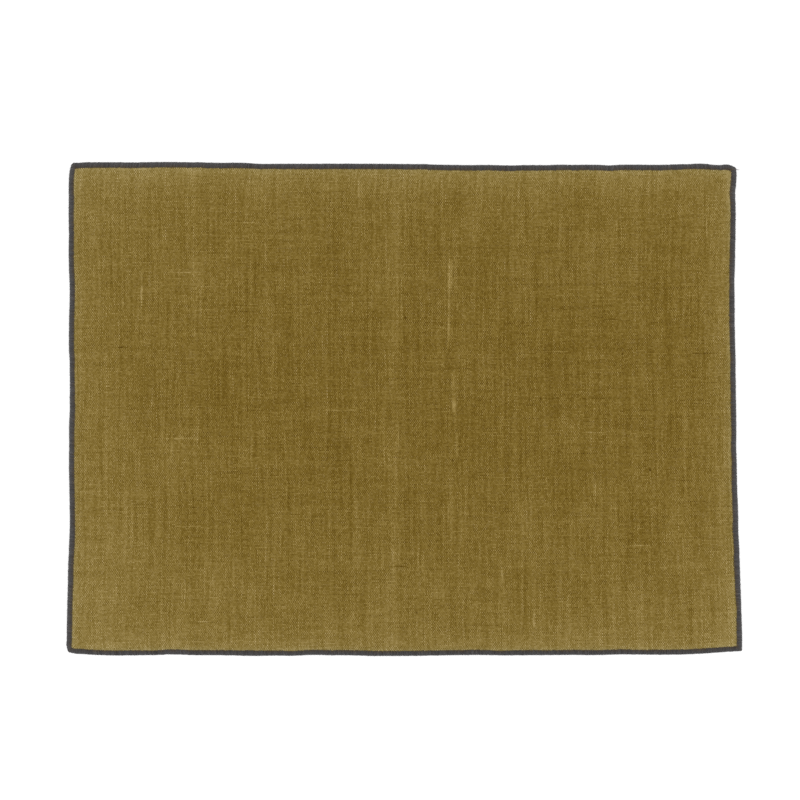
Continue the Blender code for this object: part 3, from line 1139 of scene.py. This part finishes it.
def stitch_legs(edge, at):
    """The legs of the overlock stitches, which meet at the outer edge and part at the inner one."""
    count = len(at)
    in_share, height = np.array(THREAD_WAY).T
    # a metre further on, a wave is as good as another one
    slow, quick = waves(8 * MM, 30 * MM), waves(2.5 * MM, 7 * MM)

    # how far in each leg reaches, which is less beside a corner
    reach, outward = run_shape(edge, at)
    reach = reach + 0.06 * MM * slow(at) + jitter(0.14 * MM, count)
    to_corner = np.minimum(at, run_length(edge) - at)
    reach = np.minimum(reach, to_corner + (END_ROOM if edge in ENDS else SIDE_ROOM))

    # how far in from the outline each leg starts, with the corners rounded
    inward = 0.03 * MM * slow(at + 1) + 0.06 * MM * quick(at) + jitter(0.03 * MM, count)
    past = (CORNER_RADIUS - to_corner).clip(0)
    rounding = np.sqrt(CORNER_RADIUS**2 - past**2)
    inward = inward - outward + CORNER_RADIUS - rounding

    rise = 1 + jitter(0.03, (count, 1))
    turn = np.where(np.arange(count) % 2, -1.0, 1.0)[:, None]
    slant = LEG_SLANT * (1 - 2 * in_share) * turn + jitter(0.03 * MM, (count, 1))
    inset = in_share * reach[:, None] + inward[:, None]
    z = EDGING_HALF_HEIGHT + CROWN * height * rise
    paths = mat.raised(*on_run(edge, at[:, None] + slant, inset), np.maximum(z, THREAD_RADIUS))
    narrowing = np.interp(in_share, [0.0, 0.7, 1.0], [1.0, 1.0, 0.78])
    radii = THREAD_RADIUS * (1 + jitter(0.06, (count, 1))) * narrowing

    # the inner ends are darker, and fibres of the cloth are caught in them; each run also has the
    # painted light and shade of its side
    own_tone = jitter(5.5, (count, 1)) + 3.0 * quick(at + 2)[:, None] + THREAD_LIGHT_BY_EDGE[edge]
    caught = np.clip(0.45 + 0.25 * slow(at + 3) + jitter(0.25, count), 0, 0.95)
    marks = {
        "tone": own_tone + np.interp(in_share, [0.0, 0.25, 0.6, 1.0], [3.0, 3.0, -4.0, -9.0]),
        "lint": caught[:, None] * np.interp(in_share, [0.45, 0.95], [0.0, 1.0]),
    }
    reference = np.array([1.0, 0, 0] if edge in ENDS else [0, 1.0, 0])
    return tubes(paths, radii, reference, marks)


def needle_stitches(edge, at):
    """The needle's thread: a line of short stitches along the inner ends of the legs."""
    place, height, width = np.array(NEEDLE_WAY).T
    count = len(at) // 2 - 2 * STITCHES_TO_CORNER
    number = np.arange(count)[:, None] + STITCHES_TO_CORNER + 0.25
    along = at[0] + number * STITCH_PITCH + place * STITCH_PITCH
    reach, outward = run_shape(edge, along)
    u, v = on_run(edge, along, reach - outward - NEEDLE_INSET)
    paths = mat.raised(u, v, EDGING_HALF_HEIGHT + CROWN * 0.84 + height)
    radii = NEEDLE_RADIUS * width * np.ones((count, 1))
    marks = {"tone": jitter(4, (count, 1)) - 6, "lint": np.full((count, 1), 0.2)}
    return tubes(paths, radii, UP, marks, 5)


def thread_core(edge):
    """The filling of a run, which shows between the legs and grips the cloth's cut edge."""
    length = run_length(edge)
    shares, height = np.array(CORE_SECTION).T
    at = np.linspace(RUN_END, length - RUN_END, int(length / CORE_STEP))[:, None]
    reach, outward = run_shape(edge, at)
    to_corner = np.minimum(at, length - at)
    u, v = on_run(edge, at, np.minimum(shares * reach, to_corner) - outward)
    rings = mat.raised(u, v, EDGING_HALF_HEIGHT + CORE_CROWN * height)
    stations, sides = rings.shape[:2]
    walls = wall_faces(stations, sides)
    faces = walls.tolist() + cap_faces(0, stations, sides)
    lint = np.tile(np.interp(shares, [0.45, 0.86], [0.0, 0.5]), stations)
    # the core's tone of -10 is painted shade: it shows dark in the gaps between the legs
    marks = {"tone": np.full(len(lint), -10.0), "lint": lint}
    return rings.reshape(-1, 3), faces, marks, np.zeros((walls.size + 2 * sides, 2))


def corner_stitches(edge, side):
    """The stitches that turn a corner of the mat, from one run of edging to the next."""
    in_share, height = np.array(THREAD_WAY).T
    table = np.array(CORNER_WAY)
    angle, inner = np.radians(table[:, 0]), table[:, 1:] * MM
    outer = CORNER_RADIUS * (1 - np.stack([np.cos(angle), np.sin(angle)], -1))
    places = outer[:, None] + (inner - outer)[:, None] * in_share[:, None]
    from_side, from_end = places[..., 0], places[..., 1]
    u = from_side if side == "left" else mat.length - from_side
    v = from_end if edge == "front" else mat.width - from_end
    paths = mat.raised(u, v, EDGING_HALF_HEIGHT + CROWN * height)
    radii = np.broadcast_to(THREAD_RADIUS, u.shape)
    count = len(table)
    marks = {"tone": jitter(5, (count, 1)), "lint": np.full((count, 1), 0.1)}
    across = 1.0 if (edge == "front") == (side == "right") else -1.0
    return tubes(paths, radii, np.array([1.0, across, 0]), marks)


def thread_tail():
    """The thread's loose end, at the back of the right side."""
    tail = np.array(TAIL)[None] * MM
    marks = {"tone": np.zeros((1, 1)), "lint": np.zeros((1, 1))}
    return tubes(tail[..., :3], tail[..., 3], UP, marks)


def make_edging(edge, material):
    """One run of overlock stitches over a core, with the needle's line of short stitches inside."""
    at = leg_places(edge)
    parts = [stitch_legs(edge, at), needle_stitches(edge, at), thread_core(edge)]
    if edge in ENDS:
        parts += [corner_stitches(edge, side) for side in SIDES]
    if edge == "right":
        parts.append(thread_tail())
    points, faces, marks, uvs = join(*parts)
    return make_piece(f"stitches_{edge}", points, faces, material, marks, yarns=uvs)


# ---- stage, light and camera


def make_table():
    """A table that gives off a little light, to be as white as the photograph's ground."""
    shade = Shade("pale table", Roughness=0.9, Specular_IOR_Level=0.1, Emission_Strength=0.3)
    shade.surface.inputs["Base Color"].default_value = (0.94, 0.94, 0.94, 1)
    shade.surface.inputs["Emission Color"].default_value = (1, 1, 1, 1)
    half = TABLE_SIZE / 2
    points = [(-half, -half, 0), (half, -half, 0), (half, half, 0), (-half, half, 0)]
    table = make_piece("table", points, [(0, 1, 2, 3)], shade.material)
    table.location.z = -TABLE_GAP
    table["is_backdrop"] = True


def make_light():
    """An even white room, with a soft lamp over each side of the mat."""
    world = bpy.data.worlds.new("studio")
    bpy.context.scene.world = world
    world.use_nodes = True
    background = world.node_tree.nodes["Background"]
    background.inputs["Color"].default_value = (1, 1, 1, 1)
    background.inputs["Strength"].default_value = 0.5
    for side, way in (("left", -1), ("right", 1)):
        lamp = bpy.data.lights.new("softbox", "AREA")
        lamp.shape = "RECTANGLE"
        lamp.size, lamp.size_y = 1.2, 2.0
        lamp.energy = 22
        made = bpy.data.objects.new(f"softbox_{side}", lamp)
        made.location = (way * LAMP_DISTANCE, 0, LAMP_DISTANCE)
        made.rotation_euler = (0, way * np.radians(45), 0)
        bpy.context.scene.collection.objects.link(made)


def make_camera():
    """The photograph's view from straight above."""
    data = bpy.data.cameras.new("camera")
    data.sensor_width = 36
    data.lens = 157.1
    camera = bpy.data.objects.new("camera", data)
    camera.location = (-3.2 * MM, 6.4 * MM, 2.5)
    bpy.context.scene.collection.objects.link(camera)
    bpy.context.scene.camera = camera


def main():
    thread = thread_material()
    linen = linen_material()
    cloth, slubs = make_cloth(linen), make_slubs(linen)
    for piece in (cloth, slubs):
        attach(piece, "root")
    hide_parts("cloth_panel")
    for edge in EDGES:
        stitches = make_edging(edge, thread)
        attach(stitches, "root")
        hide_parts(f"edging_{edge}")
    make_table()
    make_light()
    make_camera()
    bpy.context.scene.view_settings.view_transform = "Standard"
    # the yarns are about a pixel wide, and the denoiser takes them for noise
    bpy.context.scene.cycles.use_denoising = False


main()
